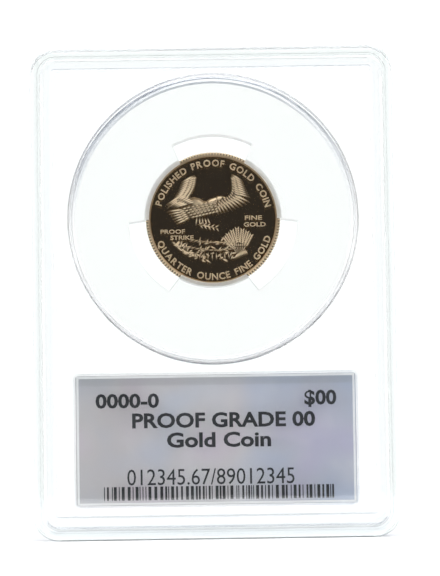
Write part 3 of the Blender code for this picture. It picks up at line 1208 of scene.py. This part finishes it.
# %% Seal
WHEEL = [
    (0.0, (0.60, 0.64, 0.80)), (0.3, (0.80, 0.60, 0.70)), (0.5, (0.76, 0.80, 0.52)),
    (0.7, (0.50, 0.76, 0.80)), (1.0, (0.70, 0.62, 0.84)),
]


def seal_foil():
    """Diffraction foil: silver with bands of pale colour, pressed with fine waves."""
    finish = material("seal_foil", Metallic=1.0, Roughness=0.22)
    place = finish.stretched((1.0, 1.0, 2.2))
    waves = finish.node(
        "ShaderNodeTexWave",
        {"wave_type": "RINGS", "rings_direction": "SPHERICAL"},
        {"Vector": place, "Scale": 230.0, "Distortion": 6.0, "Detail Scale": 2.0},
    )
    lines = Value(finish, waves.outputs["Fac"])
    band = finish.noise(90.0, 1.0) + 0.04 * finish.axis("X") + 0.22 * lines
    finish.set("Base Color", finish.ramp(band, WHEEL))
    finish.set("Normal", finish.bump(lines + 0.3 * finish.noise(2500.0, 1.0), 0.5, 0.00004))
    return finish


dress(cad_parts["label_card"], card_stock())
dress(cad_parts["security_seal"], seal_foil())

# %% [markdown]
# ## Print
#
# The print is real geometry, 0.02 mm of ink on the card, so it stays sharp however close
# the view comes. Numbers that mean nothing and plain words take the place of a grading
# company's text, and the bars follow a random order that no scanner could read.

# %% Ink
PRINT_THICK = 0.02 * MM


def printing_ink():
    """Near-black ink, a little broken over the paper."""
    finish = material("black_ink")
    grain = finish.noise(9000.0, 2.0)
    finish.set("Base Color", finish.mix(grain, (0.008, 0.008, 0.010), (0.03, 0.03, 0.035)))
    finish.set("Roughness", 0.4 + 0.2 * grain)
    return finish

# %% The label's lines
BOLD = 0.03
LINES = [
    ("0000-0", (-19.5, -9.2, 5.2, 7.6), BOLD),
    ("$00", (14.4, 19.6, 5.0, 7.8), BOLD),
    ("PROOF GRADE 00", (-13.6, 16.1, 1.9, 4.4), BOLD),
    ("Gold Coin", (-8.0, 8.9, -1.3, 1.2), BOLD),
    ("012345.67/89012345", (-14.5, 12.6, -7.3, -4.7), 0.0),
]


def make_print():
    """The lines of text, placed from the card's middle."""
    y = CARD_FRONT - PRINT_THICK / 2
    made = [fitted(text, box, CARD_Z, y, PRINT_THICK, weight) for text, box, weight in LINES]
    return join(made, "label_text")

# %% The bars
BARS_START = -18.3  # millimetres from the card's middle
BARS_END = 19.0
BAR_Z = CARD_Z - 8.6 * MM
BAR_HEIGHT = 2.2 * MM
BAR_CORNER = 0.02 * MM


def make_bars():
    """A row of upright bars of three widths, in an order that stands for nothing."""
    bars = []
    rng = random.Random(3)
    x = BARS_START
    while x < BARS_END:
        wide = rng.choice((0.16, 0.16, 0.32, 0.48))
        bar = block(
            "bar", wide * MM, BAR_HEIGHT, BAR_Z, CARD_FRONT - PRINT_THICK, CARD_FRONT, BAR_CORNER, 1
        )
        bar.data.transform(Matrix.Translation(((x + wide / 2) * MM, 0, 0)))
        bars.append(bar)
        x += wide + rng.choice((0.16, 0.32, 0.32, 0.48))
    return join(bars, "label_bars")


ink = printing_ink()
for piece in (make_print(), make_bars()):
    dress(piece, ink)
    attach(piece, "root")

# %% [markdown]
# ## Light
#
# Clear plastic and polished gold show their surroundings, so the surroundings are the
# light. All is white, as in a tent of white cloth. A small black flag stands where the
# coin's mirror field looks, which turns the field black and lets the frosted relief
# stand out. A grey arch high behind the slab gives the round shoulder of the chamber
# something to bend, and a softbox above the front lights the card and the relief.
#
# The renderer may follow a ray through many clear faces before it gives up: this slab
# has more of them than the default limits allow.

# %% World
TENT = (1.32, 1.32, 1.32)
SOFTBOX = (3.6, 3.6, 3.6)
ARCH = (0.26, 0.30, 0.38)
FLAG = (0.034, 0.036, 0.045)
FACES_DEEP = 24  # refractions that one ray may go through
SEE_THROUGH = 40  # alpha faces that one ray may go through


def studio():
    """White all round, with a black flag in front and a grey arch behind and above the slab."""
    world = bpy.data.worlds.new("studio")
    bpy.context.scene.world = world
    finish = Finish(world, Strength=1.0)
    direction = finish.node("ShaderNodeTexCoord").outputs["Generated"]
    split = finish.node("ShaderNodeSeparateXYZ", None, {0: direction})
    x, y, z = (Value(finish, split.outputs[name]) for name in "XYZ")
    front_flag = finish.span(y, -0.90, -0.945) * finish.span(abs(z), 0.46, 0.36)
    arch = (
        finish.span(y, 0.975, 0.945)
        * finish.span(y, 0.30, 0.40)
        * finish.span(z - 0.15 * abs(x), 0.14, 0.32)
    )
    zenith = finish.span(z, 0.80, 0.90) * finish.span(y, -0.35, -0.2)
    arch = arch + zenith - arch * zenith
    softbox = finish.span(z, 0.42, 0.5) * finish.span(y, -0.2, -0.35)
    lit = finish.mix(softbox, TENT, SOFTBOX)
    finish.set("Color", finish.mix(front_flag, finish.mix(arch, lit, ARCH), FLAG))
    scene = bpy.context.scene
    scene.view_settings.view_transform = "Standard"
    scene.cycles.blur_glossy = 0.0
    scene.cycles.max_bounces = FACES_DEEP
    scene.cycles.transmission_bounces = FACES_DEEP
    scene.cycles.transparent_max_bounces = SEE_THROUGH


studio()

# %% [markdown]
# ## Floor
#
# A round sheet of white card, large enough to catch the soft shadow and to run out of
# sight into the white surroundings.

# %% Floor
FLOOR_RADIUS = 0.3


def make_floor():
    """The white sheet with its white card finish."""
    bpy.ops.mesh.primitive_circle_add(vertices=96, radius=FLOOR_RADIUS, fill_type="NGON")
    floor = settle(bpy.context.object, "floor")
    finish = material("white_card", Roughness=0.9)
    cloud = finish.noise(60.0)
    finish.set("Base Color", finish.mix(cloud, (0.93, 0.93, 0.93), (0.96, 0.96, 0.96)))
    dress(floor, finish)


make_floor()

# %% [markdown]
# ## Camera
#
# A long lens stands low in front of the slab, square to its face. Its focal length comes
# from the height that the frame should cover at that distance, and the small roll is that
# of a holder that leans a degree to one side.

# %% Camera
CAMERA_DISTANCE = 0.4
CAMERA_HEIGHT = 0.0157
VIEW_HEIGHT = 0.0939
SENSOR = 36.0  # millimetres
AIM = Vector((0.98 * MM, 0, HEIGHT / 2 + 0.65 * MM))
LEAN = math.radians(-0.85)


def make_camera():
    """The long lens, aimed near the slab's middle and leaned a little."""
    bpy.ops.object.camera_add(location=(0, -CAMERA_DISTANCE, CAMERA_HEIGHT))
    camera = bpy.context.object
    turn = (AIM - camera.location).to_track_quat("-Z", "Y").to_matrix()
    roll = Matrix.Rotation(LEAN, 3, "Z")
    camera.rotation_euler = (turn @ roll).to_euler()
    camera.data.sensor_width = SENSOR
    camera.data.lens = SENSOR * CAMERA_DISTANCE / VIEW_HEIGHT
    camera.data.clip_start = 0.01
    bpy.context.scene.camera = camera


make_camera()
